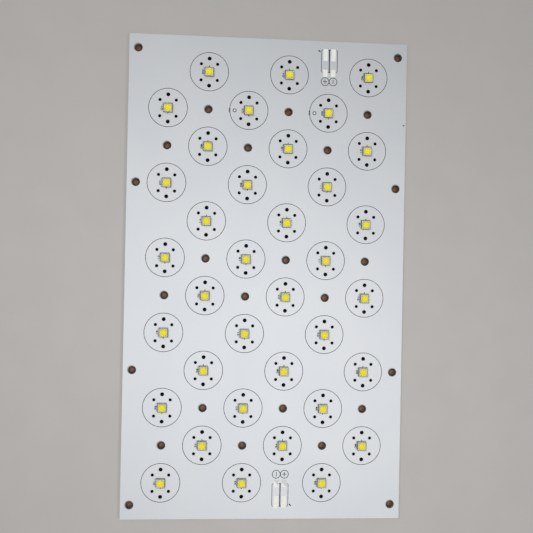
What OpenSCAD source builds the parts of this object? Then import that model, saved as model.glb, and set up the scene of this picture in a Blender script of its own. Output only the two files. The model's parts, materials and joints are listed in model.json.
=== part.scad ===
// Metal-core LED board: staggered rows of domed white LEDs on a drilled aluminium plate.
// Millimetres. The back of the plate lies on Z = 0, the LEDs face +Z and the long side runs along Y.
// Rows are counted from the +Y end and columns from the -X side, both from 0.

/* [Board] */
// Width of the board across its short side
board_w = 112.8; // [104:0.2:140]
// Length of the board along its long side
board_l = 194; // [176:1:250]
// Thickness of the aluminium base plate
base_t = 1.5; // [1:0.1:3]
// Thickness of the insulating layer under the copper
dielectric_t = 0.1; // [0.05:0.01:0.2]
// Thickness of the copper foil
copper_t = 0.07; // [0.035:0.005:0.14]
// Thickness of the white solder mask above the copper
mask_t = 0.03; // [0.02:0.005:0.06]
// Thickness of the printed ink
ink_t = 0.015; // [0.01:0.005:0.03]
// Depth of the score on each face along which the board was snapped from its panel
score_depth = 0.4; // [0.1:0.05:0.6]
// Full angle of the scoring blade
score_angle = 30; // [20:5:60]

/* [LED layout] */
// Distance from each end of the board to the nearest row of LEDs
end_margin = 14.5; // [13:0.5:20]
// Distance from each side of the board to the outermost column of LEDs
side_margin = 15.9; // [14:0.1:20]

/* [LED package] */
// Side of the square ceramic substrate
led_size = 3.45; // [3.35:0.05:4]
// Thickness of the ceramic substrate
substrate_t = 0.6; // [0.3:0.05:1]
// Side of the light-emitting chip
chip_size = 1.4; // [0.8:0.1:1.6]
// Thickness of the light-emitting chip
chip_t = 0.15; // [0.1:0.05:0.3]
// Side of the yellow phosphor coat
phosphor_size = 2.1; // [1.8:0.1:2.8]
// Corner radius of the phosphor coat
phosphor_corner = 0.3; // [0.2:0.1:0.8]
// Thickness of the phosphor coat
phosphor_t = 0.1; // [0.05:0.01:0.14]
// Thickness of the silicone that spreads over the substrate round the dome
flange_t = 0.15; // [0.15:0.01:0.3]
// Diameter of the silicone dome at its foot
dome_d = 3.2; // [2.7:0.05:3.3]
// Height of the silicone dome above its flange
dome_h = 1.3; // [0.8:0.05:1.35]
// Length of the three contact strips under the substrate
contact_l = 3.2; // [2.6:0.05:3.3]
// Width of the anode strip and of the cathode strip
electrode_w = 0.5; // [0.3:0.05:0.55]
// Width of the thermal strip between them
thermal_w = 1.3; // [0.8:0.05:1.4]
// Gap between neighbouring contact strips
contact_gap = 0.5; // [0.45:0.05:0.55]
// Thickness of the contact strips
contact_t = 0.05; // [0.03:0.01:0.1]
// Thickness of the solder between the copper and the contacts
solder_t = 0.1; // [0.07:0.01:0.2]

/* [Lens seats] */
// Side of the square on which the four small lens-leg holes lie
leg_square = 6.5; // [6:0.1:8]
// Diameter of the small lens-leg holes
leg_hole_d = 1.3; // [0.8:0.1:1.6]
// Distance between the two larger lens-leg holes
post_spacing = 10.9; // [9:0.1:12]
// Diameter of the larger lens-leg holes
post_hole_d = 1.6; // [1:0.1:2.4]

/* [Fixing holes] */
// Diameter of the screw holes
fixing_hole_d = 3.2; // [2.5:0.1:4.5]
// Diameter of the openings in the mask round the screw holes
fixing_open_d = 3.6; // [3:0.1:5]
// Distance from the sides of the board to the screw holes along them
fixing_side = 3.75; // [3:0.05:5]
// Distance from the ends of the board to the corner screw holes
fixing_end = 5.75; // [3.5:0.05:8]
// Row with which the upper screw holes along the sides line up
fixing_row = 3; // [2:1:5]

/* [Supply terminals] */
// Distance between the centres of the plus pads and the minus pads
terminal_pitch = 3.25; // [2.8:0.05:4.5]
// Length of the printed outline of a terminal
terminal_l = 9.5; // [8:0.1:11]
// Distance from the upper end of the board to the outline of its terminal
upper_terminal_end = 3.6; // [3:0.1:6]
// Distance from the lower end of the board to the outline of its terminal
lower_terminal_end = 4.8; // [3:0.1:6]
// Column at which the upper terminal stands
upper_terminal_column = 4; // [2:2:4]
// Column at which the lower terminal stands
lower_terminal_column = 3; // [1:2:3]
// Distance of the lower terminal from its column, towards the left
lower_terminal_shift = 0.6; // [0:0.1:2]
// Width of the bare pads
pad_w = 1.8; // [1.2:0.05:2.2]
// Length of the outer pads
outer_pad_l = 4.85; // [3:0.05:6]
// Length of the inner pads
inner_pad_l = 2.9; // [2:0.05:4]
// Distance by which the outer pads reach past the printed outline
outer_pad_reach = 0.35; // [0:0.05:0.6]
// Distance by which the inner pads reach past the printed outline
inner_pad_reach = 1.45; // [0.5:0.05:2]
// Thickness of the tin on the bare pads
tin_t = 0.045; // [0.035:0.005:0.08]

/* [Copper] */
// Gap between copper areas of different nets
copper_gap = 0.25; // [0.15:0.01:0.28]
// Distance that copper keeps from the edge of the board
copper_edge = 1.2; // [0.8:0.1:2]
// Distance that copper keeps from the lens-leg holes
copper_hole = 0.5; // [0.3:0.05:0.6]
// Diameter of the area round a screw hole that is free of copper for the screw's head
screw_land_d = 6.4; // [5.5:0.1:8]
// Distance by which a copper pad reaches past the opening in the mask
pad_margin = 0.1; // [0.05:0.01:0.1]

/* [Fiducials] */
// Diameter of the copper fiducial dots
fiducial_d = 1.1; // [0.6:0.05:1.2]
// Diameter of the opening in the mask round a fiducial dot
fiducial_open_d = 1.55; // [1.3:0.05:2]
// Distance of a fiducial dot from the centre of its LED
fiducial_x = 5.75; // [5.5:0.05:6.5]

/* [Print] */
// Diameter of the printed lens circles, to the middle of the line
ring_d = 15.45; // [14:0.05:16]
// Line width of the lens circles
ring_line = 0.22; // [0.1:0.01:0.3]
// Width of the printed LED frames, to the middle of the line
frame_w = 3.55; // [3.4:0.05:4.2]
// Length of the printed LED frames, to the middle of the line
frame_l = 3.7; // [3.4:0.05:4.4]
// Line width of the LED frames
frame_line = 0.16; // [0.1:0.01:0.3]
// Line width of the terminal outlines
outline_line = 0.22; // [0.1:0.01:0.3]
// Length of the polarity tick at the cathode end of each LED frame
tick_l = 0.65; // [0.3:0.05:1]
// Width of the polarity tick
tick_w = 0.3; // [0.2:0.05:0.5]
// Length of the slanted ends of the terminal outline
outline_bend = 0.75; // [0.4:0.05:0.9]
// Distance from the terminal outline to the dash that marks its first way
pin_mark_gap = 0.85; // [0.6:0.05:1.2]
// Distance of that dash from the end of the outline
pin_mark_drop = 0.75; // [0.3:0.05:2]
// Size of the dashes on the lens circles beside the fiducial dots
dash_size = 0.5; // [0.3:0.05:0.8]
// Gap between those dashes
dash_gap = 0.3; // [0.2:0.05:0.6]
// Shift of the whole print along the board against the drilled holes
print_shift = 0.15; // [-0.3:0.05:0.3]
// Shift of the openings in the mask against the screw holes, to the left and to the upper end alike
mask_shift = 0.13; // [0:0.01:0.2]

/* [Hidden] */
rows = 12;
columns = 6;
strings = rows / 2;
strings_per_circuit = strings / 2;
fiducial_row = 1;
fiducial_columns = [2, 4];
fiducial_string = floor(fiducial_row / 2) + 1;
slant_angle = 45;
overcut = 1;
$fn = 48;

// Pitches that spread the LEDs between the margins
half_pitch = (board_w - 2 * side_margin) / (columns - 1);
row_pitch = (board_l - 2 * end_margin) / (rows - 1);

// Heights of the layers above the back of the plate
copper_z = base_t + dielectric_t;
pad_z = copper_z + copper_t;
board_top = pad_z + mask_t;
contact_z = pad_z + solder_t;
substrate_z = contact_z + contact_t;
chip_z = substrate_z + substrate_t;

// The flat faces are narrower than the board by the slope of the score on each side
score_inset = score_depth * tan(score_angle / 2);
face_w = board_w - 2 * score_inset;
face_l = board_l - 2 * score_inset;

// Outer limits of the copper
copper_top = face_l / 2 - copper_edge;
copper_side = face_w / 2 - copper_edge;

// Middle of the electrode strips from the middle of the LED, and radius of the dome's sphere
electrode_y = (thermal_w + electrode_w) / 2 + contact_gap;
dome_r = (pow(dome_h, 2) + pow(dome_d / 2, 2)) / (2 * dome_h);

// Ends of the terminal pads from the middle of the outline, towards the end of the board
outer_pad_end = terminal_l / 2 + outer_pad_reach;
inner_pad_end = terminal_l / 2 + inner_pad_reach;

// Straight part of the terminal outline between its slanted ends
outline_straight = terminal_l - 2 * outline_bend * sin(slant_angle);

// Place of a grid position on the board
function site(column, row) = [
    (column - (columns - 1) / 2) * half_pitch,
    ((rows - 1) / 2 - row) * row_pitch
];

// LED k of a string alternates between the lower and the upper row of the string's pair of rows
function led_row(string, k) = 2 * string + 1 - k % 2;
function led_site(string, k) = site(k, led_row(string, k));

// The cathode of an LED points to +Y in the upper row of its pair and to -Y in the lower one
function led_turn(k) = k % 2 == 1 ? 0 : 180;

led_sites = [for (string = [0 : strings - 1], k = [0 : columns - 1]) led_site(string, k)];

// Every other pair of rows has screw holes at the places between its LEDs
inner_fixings = [
    for (row = [0 : rows - 1], column = [0 : columns - 1])
        if ((row % 4 == 1 || row % 4 == 2) && column % 2 == row % 2) site(column, row)
];
edge_fixings = [
    for (x = [-1, 1], y = [-1, 1], place = [board_l / 2 - fixing_end, site(0, fixing_row)[1]])
        [x * (board_w / 2 - fixing_side), y * place]
];
fixings = concat(edge_fixings, inner_fixings);
fiducials = [for (column = fiducial_columns) site(column, fiducial_row) - [fiducial_x, 0]];

// Middle of the outline of each terminal, seen with its own end of the board upwards
upper_terminal = [site(upper_terminal_column, 0)[0],
    board_l / 2 - upper_terminal_end - terminal_l / 2];
lower_terminal = [-site(lower_terminal_column, 0)[0] + lower_terminal_shift,
    board_l / 2 - lower_terminal_end - terminal_l / 2];

// Drilling pattern

module leg_holes(clearance = 0) {
    for (place = led_sites) translate(place) {
        for (x = [-1, 1], y = [-1, 1])
            translate([x, y] * leg_square / 2) circle(d = leg_hole_d + 2 * clearance);
        for (y = [-1, 1])
            translate([0, y * post_spacing / 2]) circle(d = post_hole_d + 2 * clearance);
    }
}

module fixing_holes(diameter) {
    for (place = fixings) translate(place) circle(d = diameter);
}

module drilled_holes() {
    leg_holes();
    fixing_holes(fixing_hole_d);
}

module drilled_face() {
    difference() {
        square([face_w, face_l], center = true);
        drilled_holes();
    }
}

// Contact strips of an LED, with its cathode towards +Y

module cathode_strip(margin = 0) {
    translate([0, electrode_y])
        square([contact_l, electrode_w] + 2 * [margin, margin], center = true);
}

module anode_strip(margin = 0) {
    translate([0, -electrode_y])
        square([contact_l, electrode_w] + 2 * [margin, margin], center = true);
}

module thermal_strip(margin = 0) {
    square([contact_l, thermal_w] + 2 * [margin, margin], center = true);
}

module contact_strips() {
    cathode_strip();
    thermal_strip();
    anode_strip();
}

// Puts a shape at LED k of a string, turned as that LED is
module at_led(string, k) {
    translate(led_site(string, k)) rotate(led_turn(k)) children();
}

module at_string(string) {
    for (k = [0 : columns - 1]) at_led(string, k) children();
}

// Copper of one circuit, three strings of six LEDs between a plus rail on the left and a minus rail
// on the right. The second circuit is the same, turned half round, with its terminal at another place.

function band_top(string) = site(0, 2 * string)[1] + (row_pitch - copper_gap) / 2;
function band_bottom(string) = site(0, 2 * string + 1)[1] - (row_pitch - copper_gap) / 2;

// Lower end of the copper under a terminal
function terminal_foot(terminal) = terminal[1] - inner_pad_end - pad_margin;

// Rectangle between two limits in each direction
module span(x, y) {
    translate([min(x), min(y)]) square([max(x) - min(x), max(y) - min(y)]);
}

// Current enters an LED at its anode and leaves it at the cathode, which shares its copper with the
// thermal strip

module entry_pads(margin) {
    anode_strip(margin);
}

module exit_pads(margin) {
    cathode_strip(margin);
    thermal_strip(margin);
}

// A rail along one side of the board, -1 for left and 1 for right, with an arm to its terminal
module rail_outline(side, terminal) {
    edge = side * copper_side;
    inner = side * (site(columns - 1, 0)[0] + copper_gap / 2);
    near = terminal[0] + side * copper_gap / 2;
    far = terminal[0] + side * terminal_pitch;
    span([inner, edge], [band_bottom(strings_per_circuit - 1), copper_top]);
    span([near, edge], [band_top(0) + copper_gap, copper_top]);
    span([near, far], [terminal_foot(terminal), copper_top]);
}

module plus_rail(terminal) {
    difference() {
        union() {
            rail_outline(-1, terminal);
            for (string = [0 : strings_per_circuit - 1])
                at_led(string, 0) entry_pads(pad_margin);
        }
        for (string = [0 : strings_per_circuit - 1])
            at_led(string, 0) exit_pads(pad_margin + copper_gap);
    }
}

module minus_rail(terminal) {
    difference() {
        union() {
            rail_outline(1, terminal);
            for (string = [0 : strings_per_circuit - 1])
                at_led(string, columns - 1) exit_pads(pad_margin);
        }
        for (string = [0 : strings_per_circuit - 1])
            at_led(string, columns - 1) entry_pads(pad_margin + copper_gap);
    }
}

// Copper between LED k and the next one of its string
module string_link(string, k, terminal) {
    left = site(k, 0)[0] + copper_gap / 2;
    right = site(k + 1, 0)[0] - copper_gap / 2;
    terminal_side = terminal_pitch + copper_gap;
    difference() {
        union() {
            span([left, right], [band_bottom(string), band_top(string)]);
            at_led(string, k) exit_pads(pad_margin);
            at_led(string, k + 1) entry_pads(pad_margin);
        }
        at_led(string, k) entry_pads(pad_margin + copper_gap);
        at_led(string, k + 1) exit_pads(pad_margin + copper_gap);
        span([terminal[0] - terminal_side, terminal[0] + terminal_side],
            [terminal_foot(terminal) - copper_gap, copper_top]);
    }
}

module circuit_links(terminal) {
    for (string = [0 : strings_per_circuit - 1], k = [0 : columns - 2])
        string_link(string, k, terminal);
}

// Copper cleared round the drilled holes and the fiducial dots
module hole_clearance() {
    leg_holes(copper_hole);
    fixing_holes(screw_land_d);
    fiducial_circles(fiducial_open_d + 2 * pad_margin);
}

module both_plus_rails() {
    difference() {
        union() {
            plus_rail(upper_terminal);
            rotate(180) plus_rail(lower_terminal);
        }
        hole_clearance();
    }
}

module both_minus_rails() {
    difference() {
        union() {
            minus_rail(upper_terminal);
            rotate(180) minus_rail(lower_terminal);
        }
        hole_clearance();
    }
}

module all_string_links() {
    difference() {
        union() {
            circuit_links(upper_terminal);
            rotate(180) circuit_links(lower_terminal);
        }
        hole_clearance();
    }
}

module fiducial_circles(diameter) {
    for (place = fiducials) translate(place) circle(d = diameter);
}

// Bare pads and printed outline of a terminal, from its middle, with its end of the board towards +Y

module terminal_pads() {
    for (x = [-1, 1]) translate([x * terminal_pitch / 2 - pad_w / 2, 0]) {
        translate([0, outer_pad_end - outer_pad_l]) square([pad_w, outer_pad_l]);
        translate([0, -inner_pad_end]) square([pad_w, inner_pad_l]);
    }
}

// A long side of a way of the terminal, with ends that slant to one side, -1 for left and 1 for right
module outline_side(side) {
    square([outline_line, outline_straight], center = true);
    for (y = [-1, 1])
        translate([0, y * outline_straight / 2]) rotate(side > 0 ? y * slant_angle : 180 - y * slant_angle)
            translate([-outline_line / 2, -outline_line / 2]) square([outline_bend, outline_line]);
}

// The middle line serves both ways, and a short dash marks the first one
module terminal_outline() {
    for (way = [-1, 1], side = [-1, 1])
        translate([(way - side) * terminal_pitch / 2, 0]) outline_side(side);
    translate([-terminal_pitch - pin_mark_gap, terminal_l / 2 - pin_mark_drop])
        rotate(-slant_angle) square([outline_bend, tick_w], center = true);
}

module at_terminals() {
    translate(upper_terminal) children();
    rotate(180) translate(lower_terminal) children();
}

// Printed marks round one LED

module lens_circle() {
    difference() {
        circle(d = ring_d + ring_line);
        circle(d = ring_d - ring_line);
    }
}

module led_frame() {
    difference() {
        square([frame_w, frame_l] + [frame_line, frame_line], center = true);
        square([frame_w, frame_l] - [frame_line, frame_line], center = true);
    }
    translate([-tick_w / 2, frame_l / 2]) square([tick_w, tick_l]);
}

// Two short dashes on the lens circle beside each fiducial dot
module fiducial_dashes() {
    for (column = fiducial_columns, y = [-1, 1])
        translate(site(column, fiducial_row) + [-ring_d, y * (dash_size + dash_gap)] / 2)
            square(dash_size, center = true);
}

// Openings in the mask over the pads of the LEDs and of the terminals
module pad_openings() {
    for (string = [0 : strings - 1]) at_string(string) contact_strips();
    at_terminals() terminal_pads();
}

// Ink on top of the mask, kept off the bare pads
module printed_ink() {
    color("dimgrey") translate([0, 0, board_top]) linear_extrude(ink_t) difference() {
        translate([0, print_shift]) children();
        pad_openings();
    }
}

// Board pieces

// Cross-section of the plate across one direction, with the slopes left by the scores
module scored_section(width) {
    half = width / 2;
    polygon([
        [-half + score_inset, 0],
        [half - score_inset, 0],
        [half, score_depth],
        [half, base_t - score_depth],
        [half - score_inset, base_t],
        [-half + score_inset, base_t],
        [-half, base_t - score_depth],
        [-half, score_depth]
    ]);
}

module scored_bar(width, length) {
    rotate([90, 0, 0]) linear_extrude(length, center = true) scored_section(width);
}

module base_plate() {
    color("silver") difference() {
        intersection() {
            scored_bar(board_w, board_l + 2 * overcut);
            rotate(90) scored_bar(board_l, board_w + 2 * overcut);
        }
        translate([0, 0, -overcut]) linear_extrude(base_t + 2 * overcut) drilled_holes();
    }
}

module dielectric_layer() {
    color("lightgrey") translate([0, 0, base_t]) linear_extrude(dielectric_t) drilled_face();
}

module copper_foil() {
    color("peru") translate([0, 0, copper_z]) linear_extrude(copper_t) children();
}

module plus_rails() {
    copper_foil() both_plus_rails();
}

module minus_rails() {
    copper_foil() both_minus_rails();
}

module string_links() {
    copper_foil() all_string_links();
}

module fiducial_dots() {
    copper_foil() fiducial_circles(fiducial_d);
}

// The mask fills the gaps between the copper and covers it, apart from the pads, and leaves the
// insulating layer bare round the fiducial dots and the screw holes
module solder_mask() {
    color("whitesmoke") difference() {
        translate([0, 0, copper_z]) linear_extrude(copper_t + mask_t) drilled_face();
        translate([0, 0, copper_z - overcut]) linear_extrude(copper_t + overcut) {
            both_plus_rails();
            both_minus_rails();
            all_string_links();
        }
        translate([0, 0, copper_z + copper_t / 2]) linear_extrude(copper_t + mask_t) pad_openings();
        translate([0, 0, copper_z - overcut]) linear_extrude(copper_t + mask_t + 2 * overcut) {
            fiducial_circles(fiducial_open_d);
            translate([-mask_shift, mask_shift]) fixing_holes(fixing_open_d);
        }
    }
}

module tinned_pads() {
    color("gainsboro") translate([0, 0, pad_z]) linear_extrude(tin_t) {
        at_terminals() terminal_pads();
        fiducial_circles(fiducial_d);
    }
}

module terminal_marks() {
    printed_ink() at_terminals() terminal_outline();
}

// LED pieces and the print round them, six to a string

module led_marks(s) {
    printed_ink() {
        at_string(s - 1) {
            lens_circle();
            led_frame();
        }
        if (s == fiducial_string) fiducial_dashes();
    }
}

module led_solder(s) {
    color("lightslategrey") at_string(s - 1)
        translate([0, 0, pad_z]) linear_extrude(solder_t) contact_strips();
}

module led_contacts(s) {
    color("gold") at_string(s - 1)
        translate([0, 0, contact_z]) linear_extrude(contact_t) contact_strips();
}

module led_substrates(s) {
    color("ivory") at_string(s - 1)
        translate([0, 0, substrate_z]) linear_extrude(substrate_t) square(led_size, center = true);
}

module led_chips(s) {
    color("steelblue") at_string(s - 1)
        translate([0, 0, chip_z]) linear_extrude(chip_t) square(chip_size, center = true);
}

module round_square(side, corner) {
    inner = side - 2 * corner;
    square([side, inner], center = true);
    square([inner, side], center = true);
    for (x = [-1, 1], y = [-1, 1]) translate([x, y] * inner / 2) circle(r = corner);
}

// Outside of the phosphor: a thin skirt on the substrate and a block over the chip
module phosphor_form() {
    linear_extrude(phosphor_t) round_square(phosphor_size, phosphor_corner);
    linear_extrude(chip_t + phosphor_t) square(chip_size + 2 * phosphor_t, center = true);
}

module led_phosphors(s) {
    color("gold") at_string(s - 1) translate([0, 0, chip_z]) difference() {
        phosphor_form();
        translate([0, 0, -overcut]) linear_extrude(chip_t + overcut) square(chip_size, center = true);
    }
}

// Half section of the dome, from its flange up
module dome_section() {
    intersection() {
        translate([0, dome_h - dome_r]) circle(r = dome_r);
        square([dome_d, dome_h]);
    }
}

module led_domes(s) {
    color("lemonchiffon") at_string(s - 1) translate([0, 0, chip_z]) difference() {
        union() {
            linear_extrude(flange_t) square(led_size, center = true);
            translate([0, 0, flange_t]) rotate_extrude() dome_section();
        }
        phosphor_form();
    }
}

base_plate();
dielectric_layer();
plus_rails();
minus_rails();
string_links();
fiducial_dots();
solder_mask();
tinned_pads();
terminal_marks();
for (s = [1 : strings]) {
    led_marks(s);
    led_solder(s);
    led_contacts(s);
    led_substrates(s);
    led_chips(s);
    led_phosphors(s);
    led_domes(s);
}
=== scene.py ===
import json
import math

import bmesh
import bpy
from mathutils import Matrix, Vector


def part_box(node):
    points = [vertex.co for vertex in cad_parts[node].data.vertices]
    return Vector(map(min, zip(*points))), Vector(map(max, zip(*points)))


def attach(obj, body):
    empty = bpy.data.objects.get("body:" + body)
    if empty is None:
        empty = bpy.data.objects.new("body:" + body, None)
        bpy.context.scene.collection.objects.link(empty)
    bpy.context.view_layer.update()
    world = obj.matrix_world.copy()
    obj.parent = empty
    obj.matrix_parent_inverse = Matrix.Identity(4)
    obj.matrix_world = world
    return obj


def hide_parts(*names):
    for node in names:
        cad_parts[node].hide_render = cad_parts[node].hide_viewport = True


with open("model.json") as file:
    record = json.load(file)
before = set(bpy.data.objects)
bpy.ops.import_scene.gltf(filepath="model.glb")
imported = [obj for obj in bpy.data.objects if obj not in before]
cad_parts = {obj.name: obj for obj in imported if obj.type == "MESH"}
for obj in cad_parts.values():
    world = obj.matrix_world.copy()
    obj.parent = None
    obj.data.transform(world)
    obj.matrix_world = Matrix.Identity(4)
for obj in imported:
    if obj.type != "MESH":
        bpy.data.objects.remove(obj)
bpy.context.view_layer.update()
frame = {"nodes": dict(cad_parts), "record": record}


# Aluminium base plate: a rolled sheet that carries the whole board and takes the heat from the LEDs.
# It is drilled in a stack with its layers, and was snapped out of a larger panel along V-shaped scores,
# so each edge has two bright score slopes with a torn land between them.

mm = 0.001
mounts = {mount["name"]: mount for mount in frame["record"]["mounts"]}
plate_low, plate_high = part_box("base_plate")
layer_low, layer_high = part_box("dielectric_layer")
score_inset = plate_high.x - layer_high.x
score_angle = math.radians(30)
score_depth = score_inset / math.tan(score_angle / 2)
score_crease = math.radians(14)
plain_crease = math.radians(35)
torn_height = 0.05 * mm
torn_scale = 900.0
touching = 0.01 * mm
weld = 0.001 * mm
edge_margin = 1.0 * mm
edge_cuts = 120
hole_sides = 40
led_count = 36
led_sites = [mounts[f"lens_{number:02d}_legs"]["pos_m"] for number in range(1, led_count + 1)]
pitch_x = abs(led_sites[1][0] - led_sites[0][0])
pitch_y = abs(led_sites[1][1] - led_sites[0][1])
screw_reach = 2.5 * mm
tool_relief = 0.02 * mm


def fill(tree, node, inputs):
    """Links each input that is given a socket, and sets each that is given a value."""
    for key, value in inputs.items():
        if isinstance(value, bpy.types.NodeSocket):
            tree.links.new(value, node.inputs[key])
        else:
            node.inputs[key].default_value = value


def add_node(tree, kind, inputs=None, **settings):
    """Adds a node with its settings and inputs."""
    made = tree.nodes.new(kind)
    for name, value in settings.items():
        setattr(made, name, value)
    fill(tree, made, inputs or {})
    return made


def put(tree, kind, inputs=None, **settings):
    """Adds a node and returns its first output."""
    return add_node(tree, kind, inputs, **settings).outputs[0]


def calculate(tree, operation, first, *others):
    """Works on one value, or on two or more from left to right."""
    result = first
    for other in others or (0.0,):
        result = put(tree, "ShaderNodeMath", {0: result, 1: other}, operation=operation)
    return result


def vector(tree, operation, first, second=(0, 0, 0), result="Vector"):
    """Works on one or two places; a length, a distance or a dot product is the result named Value."""
    made = add_node(tree, "ShaderNodeVectorMath", {0: first, 1: second}, operation=operation)
    return made.outputs[result]


def coordinates(tree, place):
    """The X, Y and Z of a place or a direction."""
    return add_node(tree, "ShaderNodeSeparateXYZ", {0: place}).outputs


def ramp(tree, value, start, end):
    """0 up to the start, 1 from the end on, and even between them."""
    return put(tree, "ShaderNodeMapRange", {0: value, 1: start, 2: end})


def spread(tree, mask, low, high):
    """Stretches a mask from 0 and 1 to a low and a high value."""
    return put(tree, "ShaderNodeMapRange", {0: mask, 3: low, 4: high})


def join(tree, parts):
    """Puts parts together as one geometry."""
    joined = tree.nodes.new("GeometryNodeJoinGeometry")
    for part in parts:
        tree.links.new(part, joined.inputs[0])
    return joined.outputs[0]


def new_tree(name, sockets, result):
    """Starts a geometry tree with named inputs and one geometry output; returns tree, inputs, output."""
    tree = bpy.data.node_groups.new(name, "GeometryNodeTree")
    for socket_name, kind in sockets.items():
        tree.interface.new_socket(socket_name, in_out="INPUT", socket_type="NodeSocket" + kind)
    tree.interface.new_socket(result, in_out="OUTPUT", socket_type="NodeSocketGeometry")
    given = tree.nodes.new("NodeGroupInput").outputs
    output = tree.nodes.new("NodeGroupOutput").inputs[0]
    return tree, given, output


def finish_tree(tree, geometry, material, output, crease=plain_crease):
    """Realizes the result, smooths it except at its sharp edges, and gives it its material."""
    real = put(tree, "GeometryNodeRealizeInstances", {0: geometry})
    smooth = put(tree, "GeometryNodeSetShadeSmooth", {0: real, 2: True}, domain="FACE")
    angle = add_node(tree, "GeometryNodeInputMeshEdgeAngle").outputs["Unsigned Angle"]
    sharp = put(tree, "FunctionNodeCompare", {0: angle, 1: crease}, operation="GREATER_THAN")
    creased = put(tree, "GeometryNodeSetShadeSmooth", {0: smooth, 1: sharp, 2: False}, domain="EDGE")
    dressed = put(tree, "GeometryNodeSetMaterial", {0: creased, "Material": material})
    tree.links.new(dressed, output)


def grow(name, base_mesh, tree, values):
    """Runs a geometry tree on a base mesh and returns the result as a plain mesh object."""
    seed = bpy.data.objects.new(name + "_seed", base_mesh)
    bpy.context.scene.collection.objects.link(seed)
    modifier = seed.modifiers.new("grow", "NODES")
    modifier.node_group = tree
    for item in tree.interface.items_tree:
        if item.in_out == "INPUT" and item.name in values:
            modifier[item.identifier] = values[item.name]
    result = seed.evaluated_get(bpy.context.evaluated_depsgraph_get())
    mesh = bpy.data.meshes.new_from_object(result)
    for index in reversed(range(len(mesh.materials))):
        if mesh.materials[index] is None:
            mesh.materials.pop(index=index)
    piece = bpy.data.objects.new(name, mesh)
    bpy.context.scene.collection.objects.link(piece)
    seed.modifiers.clear()
    bpy.data.objects.remove(seed)
    return piece


def sized_points(name, rows):
    """A mesh of points with a size and a flag for round or square; rows are (place, size, is_round)."""
    mesh = bpy.data.meshes.new(name)
    mesh.from_pydata([place for place, size, is_round in rows], [], [])
    sizes = mesh.attributes.new("size", "FLOAT_VECTOR", "POINT")
    rounds = mesh.attributes.new("round", "BOOLEAN", "POINT")
    for index, (place, size, is_round) in enumerate(rows):
        sizes.data[index].vector = size
        rounds.data[index].value = is_round
    return mesh


def attribute(tree, name, kind):
    """Reads a value that the points carry."""
    return put(tree, "GeometryNodeInputNamedAttribute", {"Name": name}, data_type=kind)


def point_marks(tree):
    """The size of each point, and whether it stands for a round or for a square shape."""
    is_round = attribute(tree, "round", "BOOLEAN")
    is_square = put(tree, "FunctionNodeBooleanMath", {0: is_round}, operation="NOT")
    return attribute(tree, "size", "FLOAT_VECTOR"), is_round, is_square


def drilled_holes():
    """Every hole that a screw, a lens leg or a lens post goes through, each once, from the mounts."""
    found = {}
    for mount in mounts.values():
        if mount["kind"] != "bolt_pattern":
            continue
        dims = mount["dims"]
        diameter = 2 * dims["hole_r_mm"] * mm
        reach_x = dims.get("spacing_x_mm", 0) * mm / 2
        reach_y = dims.get("spacing_y_mm", 0) * mm / 2
        for step_x in {-reach_x, reach_x}:
            for step_y in {-reach_y, reach_y}:
                x = mount["pos_m"][0] + step_x
                y = mount["pos_m"][1] + step_y
                found[round(x / mm, 2), round(y / mm, 2)] = diameter
    return [((x * mm, y * mm, 0), (d, d, 1), True) for (x, y), d in sorted(found.items())]


face_sockets = {
    "Openings": "Geometry",
    "Width": "Float",
    "Length": "Float",
    "Hole Sides": "Int",
    "Edge Cuts": "Int",
}


def drilled_face_tree():
    """A flat sheet in the XY plane with its round and square openings."""
    tree, given, output = new_tree("drilled_face", face_sockets, "Face")
    size, is_round, is_square = point_marks(tree)
    disc = put(tree, "GeometryNodeCurvePrimitiveCircle", {0: given["Hole Sides"], "Radius": 0.5})
    square = put(tree, "GeometryNodeCurvePrimitiveQuadrilateral", {"Width": 1.0, "Height": 1.0})
    sheet = {"Width": given["Width"], "Height": given["Length"]}
    outline = put(tree, "GeometryNodeCurvePrimitiveQuadrilateral", sheet)
    parts = [put(tree, "GeometryNodeSubdivideCurve", {0: outline, 1: given["Edge Cuts"]})]
    for shape, chosen in ((disc, is_round), (square, is_square)):
        openings = {"Points": given["Openings"], "Selection": chosen, "Instance": shape, "Scale": size}
        parts.append(put(tree, "GeometryNodeInstanceOnPoints", openings))
    real = put(tree, "GeometryNodeRealizeInstances", {0: join(tree, parts)})
    tree.links.new(put(tree, "GeometryNodeFillCurve", {0: real}, mode="TRIANGLES"), output)
    return tree


drilled_face = drilled_face_tree()


def place_drilled_face(tree, given):
    """Uses the drilled face in another tree that has the same named inputs."""
    inputs = {name: given[name] for name in face_sockets}
    return put(tree, "GeometryNodeGroup", inputs, node_tree=drilled_face)


def draw_up(tree, sheet, height, chosen=True):
    """Extrudes the chosen faces of a sheet straight up; returns the new mesh and its top faces."""
    upward = {"Mesh": sheet, "Selection": chosen, "Offset": (0, 0, 1), "Offset Scale": height}
    drawn = add_node(tree, "GeometryNodeExtrudeMesh", {**upward, "Individual": False}).outputs
    return drawn["Mesh"], drawn["Top"]


def close_underside(tree, face, walls, bottom):
    """Adds the underside to extruded walls, welds the seams and lifts the sheet to its level."""
    underside = put(tree, "GeometryNodeFlipFaces", {0: face})
    closed = join(tree, (underside, walls))
    welded = put(tree, "GeometryNodeMergeByDistance", {0: closed, "Distance": weld})
    lift = put(tree, "ShaderNodeCombineXYZ", {"Z": bottom})
    return put(tree, "GeometryNodeTransform", {0: welded, "Translation": lift})


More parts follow.
